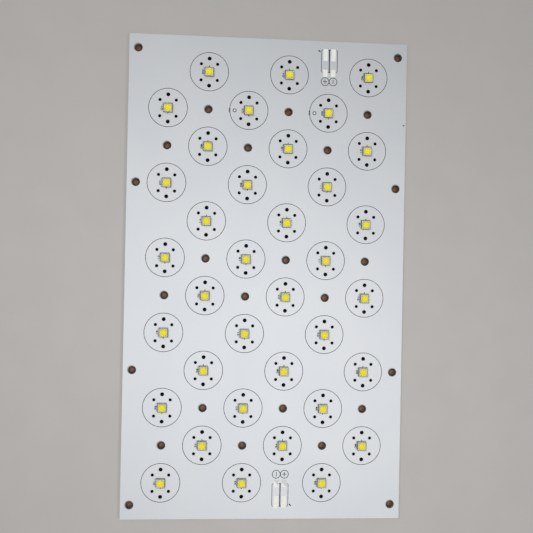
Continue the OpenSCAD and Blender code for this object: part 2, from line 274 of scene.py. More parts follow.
def scored_plate_tree():
    """The drilled face drawn up in three steps, its rims cut back to score slopes and its land torn."""
    sizes = ("Height", "Score Depth", "Score Inset", "Torn Height")
    sockets = {**face_sockets, **dict.fromkeys(sizes, "Float"), "Material": "Material"}
    tree, given, output = new_tree("scored_plate", sockets, "Plate")
    face = place_drilled_face(tree, given)
    land = calculate(tree, "SUBTRACT", given["Height"], given["Score Depth"], given["Score Depth"])
    walls, top = face, True
    for step in (given["Score Depth"], land, given["Score Depth"]):
        walls, top = draw_up(tree, walls, step, top)
    plate = close_underside(tree, face, walls, 0.0)
    place = put(tree, "GeometryNodeInputPosition")
    across = coordinates(tree, place)
    highest = calculate(tree, "SUBTRACT", given["Height"], touching)
    above = calculate(tree, "GREATER_THAN", across["Z"], highest)
    below = calculate(tree, "LESS_THAN", across["Z"], touching)
    on_face = calculate(tree, "ADD", above, below)
    on_land = calculate(tree, "SUBTRACT", 1.0, on_face)
    tear = put(tree, "ShaderNodeTexNoise", {"Vector": place, "Scale": torn_scale, "Detail": 3.0})
    swing = calculate(tree, "SUBTRACT", tear, 0.5)
    torn = calculate(tree, "MULTIPLY", swing, given["Torn Height"], on_land)
    cut_back = calculate(tree, "MULTIPLY", on_face, given["Score Inset"])
    outward = calculate(tree, "SUBTRACT", torn, cut_back)
    moves = {}
    for axis, span in (("X", given["Width"]), ("Y", given["Length"])):
        reach = calculate(tree, "SUBTRACT", calculate(tree, "MULTIPLY", span, 0.5), touching)
        on_edge = calculate(tree, "GREATER_THAN", calculate(tree, "ABSOLUTE", across[axis]), reach)
        side = calculate(tree, "SIGN", across[axis])
        moves[axis] = calculate(tree, "MULTIPLY", on_edge, side, outward)
    offset = put(tree, "ShaderNodeCombineXYZ", moves)
    scored = put(tree, "GeometryNodeSetPosition", {0: plate, "Offset": offset})
    finish_tree(tree, scored, given["Material"], output, score_crease)
    return tree


def here(tree):
    """The place of a point in the frame of the board."""
    return add_node(tree, "ShaderNodeTexCoord").outputs["Object"]


def surface_grain_group():
    """Noise with its own scale on each axis: a mask with contrast, and a height for bump."""
    tree = bpy.data.node_groups.new("surface_grain", "ShaderNodeTree")
    for name in ("Scale X", "Scale Y", "Scale Z", "Detail", "Low", "High"):
        tree.interface.new_socket(name, in_out="INPUT", socket_type="NodeSocketFloat")
    for name in ("Mask", "Height"):
        tree.interface.new_socket(name, in_out="OUTPUT", socket_type="NodeSocketFloat")
    given = tree.nodes.new("NodeGroupInput").outputs
    results = tree.nodes.new("NodeGroupOutput").inputs
    stretch = put(tree, "ShaderNodeCombineXYZ", {axis: given["Scale " + axis] for axis in "XYZ"})
    stretched = vector(tree, "MULTIPLY", here(tree), stretch)
    noise = put(tree, "ShaderNodeTexNoise", {"Vector": stretched, "Scale": 1.0, "Detail": given["Detail"]})
    tree.links.new(ramp(tree, noise, given["Low"], given["High"]), results["Mask"])
    tree.links.new(noise, results["Height"])
    return tree


surface_grain = surface_grain_group()


def grain(tree, scale, detail, low=0.35, high=0.65):
    """Places the shared grain in a material; its scale is one number, or one for each axis."""
    x, y, z = scale if isinstance(scale, tuple) else (scale, scale, scale)
    values = {"Scale X": x, "Scale Y": y, "Scale Z": z, "Detail": detail, "Low": low, "High": high}
    return add_node(tree, "ShaderNodeGroup", values, node_tree=surface_grain).outputs


def new_material(name):
    """A material with only its Principled shader; returns the material, its tree and the shader."""
    material = bpy.data.materials.new(name)
    material.use_nodes = True
    return material, material.node_tree, material.node_tree.nodes["Principled BSDF"]


def mix_colours(tree, mask, *colours):
    """Blends two colours by a mask; each is a socket or a plain red, green and blue."""
    first, second = (c if isinstance(c, bpy.types.NodeSocket) else (*c, 1) for c in colours)
    inputs = {"Factor": mask, 6: first, 7: second}
    return add_node(tree, "ShaderNodeMix", inputs, data_type="RGBA").outputs[2]


def bump(tree, height, strength, distance):
    return put(tree, "ShaderNodeBump", {"Height": height, "Strength": strength, "Distance": distance})


def uprightness(tree):
    """How far a surface faces straight up or down: 1 on the flats, 0 on drilled walls and cut edges."""
    facing = add_node(tree, "ShaderNodeNewGeometry").outputs["Normal"]
    return calculate(tree, "ABSOLUTE", coordinates(tree, facing)["Z"])


def within_outline(tree, reach_x, reach_y):
    """1 where a point lies inside a rectangle round the middle of the board, and 0 outside it."""
    across = coordinates(tree, here(tree))
    inside_x = calculate(tree, "LESS_THAN", calculate(tree, "ABSOLUTE", across["X"]), reach_x)
    inside_y = calculate(tree, "LESS_THAN", calculate(tree, "ABSOLUTE", across["Y"]), reach_y)
    return calculate(tree, "MULTIPLY", inside_x, inside_y)


def from_place(tree):
    """How far a point is from the middle of the nearest place for an LED, along X and along Y."""
    across = coordinates(tree, here(tree))
    far = {}
    for axis, pitch in (("X", pitch_x), ("Y", pitch_y)):
        share = calculate(tree, "FRACT", calculate(tree, "DIVIDE", across[axis], pitch))
        off = calculate(tree, "ABSOLUTE", calculate(tree, "SUBTRACT", share, 0.5))
        far[axis] = calculate(tree, "MULTIPLY", off, pitch)
    return far


def from_screw(tree):
    """How far a point is from the nearest screw hole.
    These lie on places that are free of an LED, at the corners and along the sides."""
    across = coordinates(tree, here(tree))
    gaps = [from_place(tree)]
    for name in ("corner_holes", "side_holes"):
        dims = mounts[name]["dims"]
        gap = {}
        for axis, spacing in (("X", dims["spacing_x_mm"]), ("Y", dims["spacing_y_mm"])):
            from_middle = calculate(tree, "ABSOLUTE", across[axis])
            gap[axis] = calculate(tree, "SUBTRACT", from_middle, spacing * mm / 2)
        gaps.append(gap)
    straight = [put(tree, "ShaderNodeCombineXYZ", gap) for gap in gaps]
    return calculate(tree, "MINIMUM", *[vector(tree, "LENGTH", way, result="Value") for way in straight])


def rolled_aluminium():
    """Streaked on the flats and pale on the snapped edges.
    The drilled walls carry painted shade: those of the screw holes are a darker grey, partly drilled metal
    and partly painted shade, and those of the lens holes are painted near black."""
    material, tree, shader = new_material("rolled_aluminium")
    streaks = grain(tree, (9000, 160, 9000), 4)["Mask"]
    cloud = grain(tree, 45, 2)["Mask"]
    tooling = grain(tree, (700, 700, 9000), 3)
    rolled = mix_colours(tree, streaks, (0.62, 0.63, 0.65), (0.80, 0.81, 0.82))
    clouded = mix_colours(tree, cloud, rolled, (0.76, 0.75, 0.73))
    snapped = mix_colours(tree, tooling["Mask"], (0.50, 0.49, 0.47), (0.66, 0.65, 0.62))
    # Painted shade on the drilled walls: a darker grey in the screw holes, near black in the lens holes.
    screw_hole_wall_and_shade = mix_colours(tree, tooling["Mask"], (0.34, 0.325, 0.31), (0.46, 0.44, 0.42))
    lens_hole_painted_shade = mix_colours(tree, tooling["Mask"], (0.04, 0.038, 0.036), (0.07, 0.067, 0.064))
    by_screw = calculate(tree, "LESS_THAN", from_screw(tree), screw_reach)
    drilled = mix_colours(tree, by_screw, lens_hole_painted_shade, screw_hole_wall_and_shade)
    away_from_edge = within_outline(tree, plate_high.x - edge_margin, plate_high.y - edge_margin)
    cut = mix_colours(tree, away_from_edge, snapped, drilled)
    flat = uprightness(tree)
    fill(tree, shader, {
        "Base Color": mix_colours(tree, flat, cut, clouded),
        "Metallic": spread(tree, flat, 0.3, 0.9),
        "Roughness": spread(tree, streaks, 0.26, 0.4),
        "Normal": bump(tree, tooling["Height"], 0.15, tool_relief),
    })
    return material


base_plate = grow(
    "base_plate_metal",
    sized_points("plate_holes", drilled_holes()),
    scored_plate_tree(),
    {
        "Width": plate_high.x - plate_low.x,
        "Length": plate_high.y - plate_low.y,
        "Hole Sides": hole_sides,
        "Edge Cuts": edge_cuts,
        "Height": plate_high.z - plate_low.z,
        "Score Depth": score_depth,
        "Score Inset": score_inset,
        "Torn Height": torn_height,
        "Material": rolled_aluminium(),
    },
)
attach(base_plate, "root")
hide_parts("base_plate")


# Insulating layer: a thin ceramic-filled resin that bonds the copper to the plate and carries its heat.
# It is pressed on before drilling, so it ends at the score and has the same holes. It shows as a grey rim.

fine_relief = 0.01 * mm
etched_ring = 1.5 * mm
dot_low, dot_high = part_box("fiducial_dots")
dot_radius = (dot_high.y - dot_low.y) / 2
dot_y = dot_low.y + dot_radius
dot_places = [(dot_low.x + dot_radius, dot_y), (dot_high.x - dot_radius, dot_y)]


def from_above(tree):
    """The place of a point, with no height."""
    return vector(tree, "MULTIPLY", here(tree), (1, 1, 0))


def from_fiducial(tree):
    """How far a point is from the middle of the nearer fiducial dot, seen from above."""
    flat = from_above(tree)
    away = [vector(tree, "DISTANCE", flat, (x, y, 0), "Value") for x, y in dot_places]
    return calculate(tree, "MINIMUM", *away)


def plain_layer_tree():
    """The drilled face drawn up once, for a layer of even thickness."""
    sockets = {**face_sockets, "Bottom": "Float", "Height": "Float", "Material": "Material"}
    tree, given, output = new_tree("plain_layer", sockets, "Layer")
    face = place_drilled_face(tree, given)
    walls = draw_up(tree, face, given["Height"])[0]
    layer = close_underside(tree, face, walls, given["Bottom"])
    finish_tree(tree, layer, given["Material"], output)
    return tree


def filled_resin():
    """Grey resin, painted near black as shade in the narrow gap round the two fiducial dots, where the
    copper was etched away.
    """
    material, tree, shader = new_material("filled_resin")
    filler = grain(tree, 4000, 3)
    grey = mix_colours(tree, filler["Mask"], (0.36, 0.35, 0.335), (0.44, 0.43, 0.41))
    # Painted shade: the resin in the etched gap round the fiducial dots is near black.
    etched = calculate(tree, "LESS_THAN", from_fiducial(tree), etched_ring)
    fill(tree, shader, {
        "Base Color": mix_colours(tree, etched, grey, (0.03, 0.03, 0.03)),
        "Roughness": spread(tree, filler["Mask"], 0.5, 0.7),
        "Normal": bump(tree, filler["Height"], 0.3, fine_relief),
    })
    return material


plain_layer = plain_layer_tree()
layer_sizes = {
    "Width": layer_high.x - layer_low.x,
    "Length": layer_high.y - layer_low.y,
    "Hole Sides": hole_sides,
    "Edge Cuts": 0,
}
insulation = grow(
    "insulating_resin",
    sized_points("insulation_holes", drilled_holes()),
    plain_layer,
    {
        **layer_sizes,
        "Bottom": layer_low.z,
        "Height": layer_high.z - layer_low.z,
        "Material": filled_resin(),
    },
)
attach(insulation, "root")
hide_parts("dielectric_layer")


# Copper circuit: foil bonded on the resin and etched to supply rails, string links and fiducial dots.
# It lies under the mask, and only its tinned pads and dots come to the light.

def grained_finish(name, scale, detail, colours, roughness, metallic=0.0, relief=0.0):
    """A finish with one even grain, from the first colour and roughness to the second."""
    material, tree, shader = new_material(name)
    fine = grain(tree, scale, detail)
    fill(tree, shader, {
        "Base Color": mix_colours(tree, fine["Mask"], *colours),
        "Roughness": spread(tree, fine["Mask"], *roughness),
        "Metallic": metallic,
    })
    if relief:
        fill(tree, shader, {"Normal": bump(tree, fine["Height"], relief, fine_relief)})
    return material


def etched_copper():
    colours = ((0.58, 0.27, 0.16), (0.78, 0.43, 0.28))
    return grained_finish("etched_copper", 2500, 4, colours, (0.28, 0.45), metallic=1.0, relief=0.2)


def dress(names, material):
    """Gives CAD pieces their finish in the slots that they already have."""
    for name in names:
        for slot in frame["nodes"][name].material_slots:
            slot.material = material


dress(("plus_rails", "minus_rails", "string_links", "fiducial_dots"), etched_copper())


# Solder mask: a white semi-gloss lacquer, printed and cured over the copper, open at pads and fiducials.
# It carries a faint orange peel, a few dust specks and short rub marks from handling.

mask_low, mask_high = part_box("solder_mask")
lens_hole_limit = 2.5 * mm
screw_opening = 3.6 * mm
opening_shift = 0.13 * mm
strings = range(1, 7)
box_corners = 8
same_corner = 0.0005 * mm
dust_spacing = 9 * mm
dust_radius = 0.16 * mm
dust_share = 0.22
rub_marks = (((12.9, 86.4), (14.4, 88.2)), ((14.2, 78.0), (14.9, 78.95)), ((27.9, 81.0), (29.1, 82.3)))
rub_width = 0.28 * mm
dirt_speck = ((55.3, 63.6), (55.6, 63.6))
dirt_width = 0.5 * mm
peel_relief = 0.03 * mm


def islands(name):
    """The separate solids of a CAD piece: lowest corner, highest corner and number of corners of each."""
    made = bmesh.new()
    made.from_mesh(frame["nodes"][name].data)
    bmesh.ops.remove_doubles(made, verts=made.verts, dist=same_corner)
    left = set(made.verts)
    found = []
    while left:
        reached = {left.pop()}
        front = list(reached)
        while front:
            for edge in front.pop().link_edges:
                fresh = {vert for vert in edge.verts if vert in left}
                left -= fresh
                reached |= fresh
                front.extend(fresh)
        low = [min(vert.co[axis] for vert in reached) for axis in range(3)]
        high = [max(vert.co[axis] for vert in reached) for axis in range(3)]
        found.append((low, high, len(reached)))
    made.free()
    return sorted(found)


def pad_rows(name):
    """The pads of a CAD piece as sized points: middle, size, and whether the pad is round."""
    rows = []
    for low, high, corners in islands(name):
        middle = ((low[0] + high[0]) / 2, (low[1] + high[1]) / 2, 0)
        size = (high[0] - low[0], high[1] - low[1], 1)
        rows.append((middle, size, corners > box_corners))
    return rows


def clear_radius(name, middle):
    """How far a CAD piece stays from a point: the radius of its opening there."""
    return min(math.dist(vert.co[:2], middle[:2]) for vert in frame["nodes"][name].data.vertices)


def mask_openings():
    """Holes, pads and fiducials; round a screw hole the mask stands back, more so to the upper left."""
    rows = []
    for middle, size, is_round in drilled_holes():
        if size[0] > lens_hole_limit:
            middle = (middle[0] - opening_shift, middle[1] + opening_shift, 0)
            size = (screw_opening, screw_opening, 1)
        rows.append((middle, size, is_round))
    for middle, size, is_round in pad_rows("tinned_pads"):
        if is_round:
            opening = 2 * clear_radius("solder_mask", middle)
            size = (opening, opening, 1)
        rows.append((middle, size, is_round))
    for string in strings:
        rows += pad_rows(f"led_contacts_{string}")
    return rows


def dusted(tree):
    """1 on rare small specks, in a share of the cells of a loose net."""
    cells = add_node(tree, "ShaderNodeTexVoronoi", {"Vector": here(tree), "Scale": 1 / dust_spacing})
    away = calculate(tree, "MULTIPLY", cells.outputs["Distance"], dust_spacing)
    draw = coordinates(tree, cells.outputs["Color"])["X"]
    chosen = calculate(tree, "LESS_THAN", draw, dust_share)
    return calculate(tree, "MULTIPLY", chosen, ramp(tree, away, dust_radius, dust_radius / 2))


def near_line(tree, ends, width):
    """1 within half a width of the line between two points of the board, given in millimetres."""
    start, end = (Vector((x * mm, y * mm, 0)) for x, y in ends)
    run = end - start
    gone = vector(tree, "SUBTRACT", from_above(tree), start)
    share = ramp(tree, vector(tree, "DOT_PRODUCT", gone, run, "Value"), 0.0, run.length_squared)
    on_line = put(tree, "ShaderNodeVectorMath", {0: run, "Scale": share}, operation="SCALE")
    away = vector(tree, "DISTANCE", gone, on_line, "Value")
    return calculate(tree, "LESS_THAN", away, width / 2)


def rubbed(tree):
    """1 on the short rub marks near the upper end, which go over the lacquer and the ink alike."""
    return calculate(tree, "MAXIMUM", *[near_line(tree, ends, rub_width) for ends in rub_marks])


def white_lacquer():
    """White with faint clouds, dust, three rub marks and a dirt speck near the right side."""
    material, tree, shader = new_material("white_lacquer")
    cloud = grain(tree, 38, 3, low=0.3, high=0.7)["Mask"]
    peel = grain(tree, 900, 3)["Height"]
    white = mix_colours(tree, cloud, (0.765, 0.785, 0.815), (0.805, 0.82, 0.845))
    dusty = mix_colours(tree, dusted(tree), white, (0.42, 0.42, 0.42))
    worn = mix_colours(tree, rubbed(tree), dusty, (0.93, 0.935, 0.94))
    soiled = mix_colours(tree, near_line(tree, dirt_speck, dirt_width), worn, (0.10, 0.10, 0.10))
    fill(tree, shader, {
        "Base Color": soiled,
        "Roughness": spread(tree, cloud, 0.34, 0.42),
        "Normal": bump(tree, peel, 0.12, peel_relief),
    })
    return material


solder_mask = grow(
    "white_solder_mask",
    sized_points("mask_openings", mask_openings()),
    plain_layer,
    {
        **layer_sizes,
        "Bottom": mask_low.z,
        "Height": mask_high.z - mask_low.z,
        "Material": white_lacquer(),
    },
)
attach(solder_mask, "root")
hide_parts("solder_mask")


# Tinned pads: solder levelled by hand over the bare copper of the two terminals and the fiducial dots.
# Each lies as a low, uneven crown that thins out to its edges.

tin_low, tin_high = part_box("tinned_pads")
tin_rim = (tin_high.z - tin_low.z) / 2
tin_crown = 0.05 * mm
tin_unevenness = 0.05 * mm
ripple_scale = 700.0
flow_relief = 0.03 * mm
slab_points = {"Vertices X": 17, "Vertices Y": 33, "Vertices Z": 2}
disc_points = {"Vertices": 32, "Side Segments": 1, "Fill Segments": 6}
dull_rim = 0.36 * mm
ragged_edge = 0.3 * mm
bare_lines = (0.3 * mm, -0.5 * mm)


def tinned_pad_tree():
    """A slab or disc on each point, its top raised to a crown and roughened by noise."""
    sizes = ("Bottom", "Rim Height", "Crown", "Unevenness")
    sockets = {"Pads": "Geometry", **dict.fromkeys(sizes, "Float"), "Material": "Material"}
    tree, given, output = new_tree("tinned_pad", sockets, "Tin")
    half = 0.5
    size, is_round, is_square = point_marks(tree)
    slab = put(tree, "GeometryNodeMeshCube", {"Size": (1, 1, 1), **slab_points})
    round_slab = {"Radius": half, "Depth": 1.0, **disc_points}
    disc = put(tree, "GeometryNodeMeshCylinder", round_slab, fill_type="TRIANGLE_FAN")
    place = put(tree, "GeometryNodeInputPosition")
    local = coordinates(tree, place)
    to_edge = {axis: calculate(tree, "DIVIDE", local[axis], half) for axis in "XY"}
    squared = {axis: calculate(tree, "MULTIPLY", to_edge[axis], to_edge[axis]) for axis in "XY"}
    fall = {axis: calculate(tree, "SUBTRACT", 1.0, squared[axis]) for axis in "XY"}
    on_top = calculate(tree, "GREATER_THAN", local["Z"], 0.0)
    slab_crown = calculate(tree, "MULTIPLY", on_top, fall["X"], fall["Y"])
    disc_fall = calculate(tree, "SUBTRACT", 1.0, squared["X"], squared["Y"])
    disc_crown = calculate(tree, "MULTIPLY", on_top, calculate(tree, "MAXIMUM", disc_fall, 0.0))
    parts = []
    for shape, crown, chosen in ((slab, slab_crown, is_square), (disc, disc_crown, is_round)):
        mark = {0: shape, "Name": "crown", "Value": crown}
        marked = put(tree, "GeometryNodeStoreNamedAttribute", mark, data_type="FLOAT", domain="POINT")
        pads = {"Points": given["Pads"], "Selection": chosen, "Instance": marked, "Scale": size}
        parts.append(put(tree, "GeometryNodeInstanceOnPoints", pads))
    real = put(tree, "GeometryNodeRealizeInstances", {0: join(tree, parts)})
    above_rim = calculate(tree, "MULTIPLY", calculate(tree, "ADD", local["Z"], half), given["Rim Height"])
    ripple = put(tree, "ShaderNodeTexNoise", {"Vector": place, "Scale": ripple_scale, "Detail": 2.0})
    uneven = calculate(tree, "MULTIPLY", calculate(tree, "SUBTRACT", ripple, 0.5), given["Unevenness"])
    swell = calculate(tree, "ADD", given["Crown"], uneven)
    rise = calculate(tree, "MULTIPLY", attribute(tree, "crown", "FLOAT"), swell)
    height = calculate(tree, "ADD", given["Bottom"], above_rim, rise)
    moved = put(tree, "ShaderNodeCombineXYZ", {"X": local["X"], "Y": local["Y"], "Z": height})
    crowned = put(tree, "GeometryNodeSetPosition", {0: real, "Position": moved})
    finish_tree(tree, crowned, given["Material"], output)
    return tree


def unwetted(tree):
    """1 on the upper right of the two inner pads of the lower terminal, which took little solder."""
    lower_pads = [row for row in pad_rows("tinned_pads") if row[0][1] < 0 and not row[2]]
    inner_pads = sorted(lower_pads, key=lambda row: row[0][1])[-2:]
    across = coordinates(tree, here(tree))
    ragged = spread(tree, grain(tree, 900, 2)["Mask"], -ragged_edge, ragged_edge)
    patches = []
    for (middle, size, is_round), bare_line in zip(sorted(inner_pads), bare_lines):
        off_x = calculate(tree, "SUBTRACT", across["X"], middle[0])
        off_y = calculate(tree, "SUBTRACT", across["Y"], middle[1])
        bare = calculate(tree, "GREATER_THAN", calculate(tree, "ADD", off_x, off_y, ragged), bare_line)
        near_x = calculate(tree, "LESS_THAN", calculate(tree, "ABSOLUTE", off_x), size[0])
        near_y = calculate(tree, "LESS_THAN", calculate(tree, "ABSOLUTE", off_y), size[1])
        patches.append(calculate(tree, "MULTIPLY", bare, near_x, near_y))
    return calculate(tree, "MAXIMUM", *patches)


def bright_tin():
    """Bright all over, grey round the rims of the two fiducial dots, and dull where solder is missing."""
    material, tree, shader = new_material("bright_tin")
    flow = grain(tree, (900, 500, 900), 4)
    bright = mix_colours(tree, flow["Mask"], (0.88, 0.86, 0.79), (0.95, 0.94, 0.90))
    away = from_fiducial(tree)
    beyond = calculate(tree, "GREATER_THAN", away, dull_rim)
    at_rim = calculate(tree, "MULTIPLY", beyond, calculate(tree, "LESS_THAN", away, etched_ring))
    dotted = mix_colours(tree, at_rim, bright, (0.34, 0.34, 0.34))
    fill(tree, shader, {
        "Base Color": mix_colours(tree, unwetted(tree), dotted, (0.66, 0.67, 0.68)),
        "Roughness": spread(tree, flow["Mask"], 0.22, 0.42),
        "Metallic": 0.8,
        "Normal": bump(tree, flow["Height"], 0.3, flow_relief),
    })
    return material


tinned_pads = grow(
    "hand_tinned_pads",
    sized_points("pad_places", pad_rows("tinned_pads")),
    tinned_pad_tree(),
    {
        "Bottom": tin_low.z,
        "Rim Height": tin_rim,
        "Crown": tin_crown,
        "Unevenness": tin_unevenness,
        "Material": bright_tin(),
    },
)
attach(tinned_pads, "root")
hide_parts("tinned_pads")


# Printed marks: dark ink screened on the mask. Each LED has a lens circle, a frame, a polarity tick and a
# plain number, and each terminal its outline and a circled plus and minus beside its pads.
# A second coat makes the terminals' middle lines and the short dashes bolder.

ink_low, ink_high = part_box("terminal_marks")
ink_middle = (ink_low.z + ink_high.z) / 2
ink_height = ink_high.z - ink_low.z


def screened_ink():
    """Matt and nearly black, and grey where the rub marks go over it."""
    material, tree, shader = new_material("screened_ink")
    wear = grain(tree, 2200, 4)
    black = mix_colours(tree, wear["Mask"], (0.012, 0.012, 0.014), (0.040, 0.040, 0.044))
    fill(tree, shader, {
        "Base Color": mix_colours(tree, rubbed(tree), black, (0.28, 0.285, 0.29)),
        "Roughness": spread(tree, wear["Mask"], 0.5, 0.7),
        "Normal": bump(tree, wear["Height"], 0.2, fine_relief),
    })
    return material


ink = screened_ink()
dress(["terminal_marks"] + [f"led_marks_{string}" for string in strings], ink)


def ink_stroke_tree():
    """A flat raised line of ink along each edge path of the base mesh."""
    sockets = {"Paths": "Geometry", "Line Width": "Float", "Ink Height": "Float", "Material": "Material"}
    tree, given, output = new_tree("ink_stroke", sockets, "Ink")
    path = put(tree, "GeometryNodeMeshToCurve", {0: given["Paths"]})
    breadth = {"Width": given["Line Width"], "Height": given["Ink Height"]}
    section = put(tree, "GeometryNodeCurvePrimitiveQuadrilateral", breadth)
    swept = {"Curve": path, "Profile Curve": section, "Fill Caps": True}
    finish_tree(tree, put(tree, "GeometryNodeCurveToMesh", swept), given["Material"], output)
    return tree


def path_mesh(name, paths):
    """A mesh of edges along open paths; a path that ends where it began is closed."""
    points, edges = [], []
    for path in paths:
        closed = path[0] == path[-1]
        first = len(points)
        points += path[:-1] if closed else path
        edges += [(index, index + 1) for index in range(first, len(points) - 1)]
        if closed:
            edges.append((len(points) - 1, first))
    mesh = bpy.data.meshes.new(name)
    mesh.from_pydata(points, edges, [])
    return mesh


ink_stroke = ink_stroke_tree()
sign_radius = 1.6 * mm
sign_step = 1.03 * sign_radius
sign_sides = 48
sign_arm = 0.85 * mm
sign_line = 0.26 * mm
sign_gaps = {"upper_supply_pads": 8.2 * mm, "lower_supply_pads": 8.52 * mm}


def ring(x, y, radius, sides):
    """A closed circle of points at the level of the ink."""
    turns = [2 * math.pi * (step % sides) / sides for step in range(sides + 1)]
    return [(x + radius * math.cos(turn), y + radius * math.sin(turn), ink_middle) for turn in turns]


def sign_paths():
    """Circled plus and minus beside each terminal, towards the middle of the board.
    The bar of the minus is upright."""
    paths = []
    for name, sign_gap in sign_gaps.items():
        x, y, z = mounts[name]["pos_m"]
        inward = -math.copysign(1, y)
        for plus, side in ((True, inward), (False, -inward)):
            middle_x = x + side * sign_step
            middle_y = y + inward * sign_gap
            paths.append(ring(middle_x, middle_y, sign_radius, sign_sides))
            paths.append([(middle_x, middle_y + end * sign_arm, ink_middle) for end in (-1, 1)])
            if plus:
                paths.append([(middle_x + end * sign_arm, middle_y, ink_middle) for end in (-1, 1)])
    return paths


polarity_signs = grow(
    "polarity_signs",
    path_mesh("sign_paths", sign_paths()),
    ink_stroke,
    {"Line Width": sign_line, "Ink Height": ink_height, "Material": ink},
)
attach(polarity_signs, "root")

bold_line = 0.46 * mm
second_coat = 0.005 * mm
bold_height = ink_height + second_coat
dash_limit = 1.2 * mm
block_length = 0.75 * mm
block_gap = 0.24 * mm
block_offset = -2.05 * mm


def bold_paths():
    """The middle line and the first-way dash of each terminal, and two blocks beside each fiducial dot."""
    level = ink_low.z + bold_height / 2
    paths = []
    for low, high, corners in islands("terminal_marks"):
        x = (low[0] + high[0]) / 2
        if high[1] - low[1] < dash_limit:
            paths.append([(low[0], high[1], level), (high[0], low[1], level)])
        elif min(abs(x - mounts[name]["pos_m"][0]) for name in sign_gaps) < dash_limit:
            paths.append([(x, low[1], level), (x, high[1], level)])
    for x, y in dot_places:
        for side in (-1, 1):
            ends = (block_gap / 2, block_gap / 2 + block_length)
            paths.append([(x + block_offset, y + side * end, level) for end in ends])
    return paths


bold_marks = grow(
    "bold_marks",
    path_mesh("bold_paths", bold_paths()),
    ink_stroke,
    {"Line Width": bold_line, "Ink Height": bold_height, "Material": ink},
)
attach(bold_marks, "root")

digit_height = 0.6 * mm
digit_width = 1.1
digit_step = 1.5
digit_line = 0.24 * mm
number_offset = -2.52 * mm
digit_strokes = {
    "0": [[(0, 0.2), (0, 0.8), (0.2, 1), (0.8, 1), (1, 0.8), (1, 0.2), (0.8, 0), (0.2, 0), (0, 0.2)]],
    "1": [[(0.2, 0.75), (0.55, 1), (0.55, 0)]],
    "2": [[(0, 0.8), (0.2, 1), (0.8, 1), (1, 0.8), (1, 0.6), (0, 0), (1, 0)]],
    "3": [[(0, 1), (1, 1), (0.45, 0.6), (0.8, 0.6), (1, 0.4), (1, 0.2), (0.8, 0), (0.2, 0), (0, 0.15)]],
    "4": [[(0.75, 0), (0.75, 1), (0, 0.3), (1, 0.3)]],
    "5": [[
        (0.95, 1), (0.1, 1), (0, 0.55), (0.75, 0.6), (1, 0.4),
        (1, 0.2), (0.8, 0), (0.2, 0), (0, 0.15),
    ]],
    "6": [[
        (0.85, 1), (0.3, 0.8), (0, 0.4), (0, 0.2), (0.2, 0),
        (0.8, 0), (1, 0.2), (1, 0.4), (0.8, 0.55), (0.05, 0.5),
    ]],
    "7": [[(0, 1), (1, 1), (0.35, 0)]],
    "8": [
        [
            (0.2, 0.55), (0, 0.7), (0, 0.85), (0.2, 1), (0.8, 1),
            (1, 0.85), (1, 0.7), (0.8, 0.55), (0.2, 0.55),
        ],
        [(0.2, 0.55), (0, 0.4), (0, 0.15), (0.2, 0), (0.8, 0), (1, 0.15), (1, 0.4), (0.8, 0.55)],
    ],
    "9": [[
        (0.15, 0), (0.7, 0.2), (1, 0.6), (1, 0.8), (0.8, 1),
        (0.2, 1), (0, 0.8), (0, 0.6), (0.2, 0.45), (0.95, 0.5),
    ]],
}


def number_paths():
    """The number of each LED, turned a quarter to read upwards along the left side of its frame."""
    paths = []
    for number, (x, y, z) in enumerate(led_sites, 1):
        digits = f"{number:02d}"
        length = ((len(digits) - 1) * digit_step + digit_width) * digit_height
        for place, digit in enumerate(digits):
            for stroke in digit_strokes[digit]:
                path = []
                for across, up in stroke:
                    along = (place * digit_step + across * digit_width) * digit_height - length / 2
                    rise = (up - 0.5) * digit_height
                    path.append((x + number_offset - rise, y + along, ink_middle))
                paths.append(path)
    return paths


led_numbers = grow(
    "led_numbers",
    path_mesh("number_paths", number_paths()),
    ink_stroke,
    {"Line Width": digit_line, "Ink Height": ink_height, "Material": ink},
)
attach(led_numbers, "root")


# LED packages: a ceramic tile with gold-plated contacts, reflow-soldered to the copper through the mask.
# On it sit a die and its yellow phosphor coat; the sides of the tile and a thin rim of its face are darker
# than the rest of its face, partly as sawn ceramic and partly as painted shade.

tile_low, tile_high = islands("led_substrates_1")[0][:2]
tile_side = tile_high[0] - tile_low[0]
dark_rim_width = 0.09 * mm


def reflowed_solder():
    colours = ((0.50, 0.51, 0.52), (0.68, 0.69, 0.70))
    return grained_finish("reflowed_solder", 3000, 3, colours, (0.25, 0.5), metallic=1.0, relief=0.3)


def gold_plating():
    colours = ((0.72, 0.52, 0.22), (0.86, 0.66, 0.32))
    return grained_finish("gold_plating", 5000, 3, colours, (0.2, 0.35), metallic=1.0)


def fired_ceramic():
    """Cream on its face; its sides and a thin rim of its face are painted dark, partly as sawn ceramic and
    partly as painted shade beside the tile.
    """
    material, tree, shader = new_material("fired_ceramic")
    fine = grain(tree, 2600, 3)
    cream = mix_colours(tree, fine["Mask"], (0.93, 0.90, 0.78), (0.98, 0.96, 0.86))
    # Painted shade in part: the dark of the sides and face rim also stands for the shade beside the tile.
    sawn_and_shade = mix_colours(tree, fine["Mask"], (0.18, 0.165, 0.135), (0.32, 0.30, 0.24))
    far = from_place(tree)
    outer = calculate(tree, "MAXIMUM", far["X"], far["Y"])
    at_rim = calculate(tree, "GREATER_THAN", outer, tile_side / 2 - dark_rim_width)
    face = mix_colours(tree, at_rim, cream, sawn_and_shade)
    fill(tree, shader, {
        "Base Color": mix_colours(tree, uprightness(tree), sawn_and_shade, face),
        "Roughness": spread(tree, fine["Mask"], 0.45, 0.65),
        "Normal": bump(tree, fine["Height"], 0.3, fine_relief),
    })
    return material


def sapphire_die():
    colours = ((0.22, 0.30, 0.45), (0.32, 0.40, 0.55))
    return grained_finish("sapphire_die", 6000, 2, colours, (0.1, 0.25))


